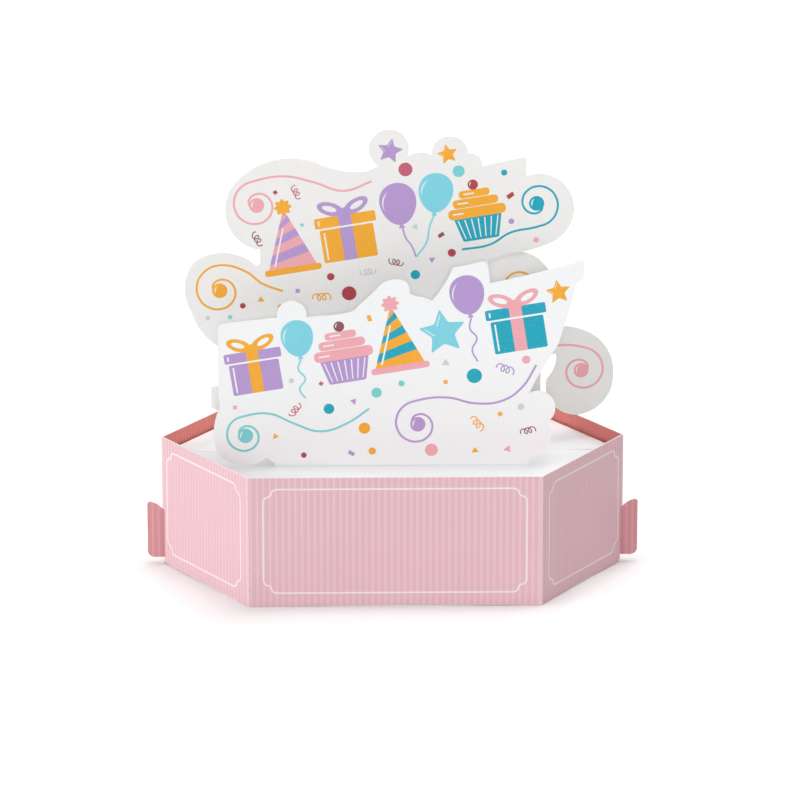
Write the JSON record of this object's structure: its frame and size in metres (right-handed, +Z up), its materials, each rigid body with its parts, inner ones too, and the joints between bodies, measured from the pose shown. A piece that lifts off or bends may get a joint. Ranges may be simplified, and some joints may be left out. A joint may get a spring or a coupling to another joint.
{
  "type": "pop up card",
  "caption": "Free-standing pop up card: a hexagonal pinstriped box of folded card with a sunk white deck and die-cut display sheets standing one behind the other, locked open by tabs.",
  "frame": {"origin": "centre of the box's footprint, on the surface it stands on", "axes": "+X to the right seen from the front, +Y to the back, +Z up"},
  "size_m": [0.143, 0.0796, 0.1304],
  "materials": {
    "striped_card": "matte",
    "white_card": "matte",
    "printed_card": "matte"
  },
  "bodies": {
    "root": {"box_band": "striped_card", "deck_front": "white_card", "deck_rear": "white_card", "spine_sheet": "printed_card", "front_sheet": "printed_card", "rear_sheet": "printed_card", "bridge_front_left": "white_card", "bridge_front_right": "white_card", "bridge_rear_left": "white_card", "bridge_rear_right": "white_card"}
  },
  "joints": []
}
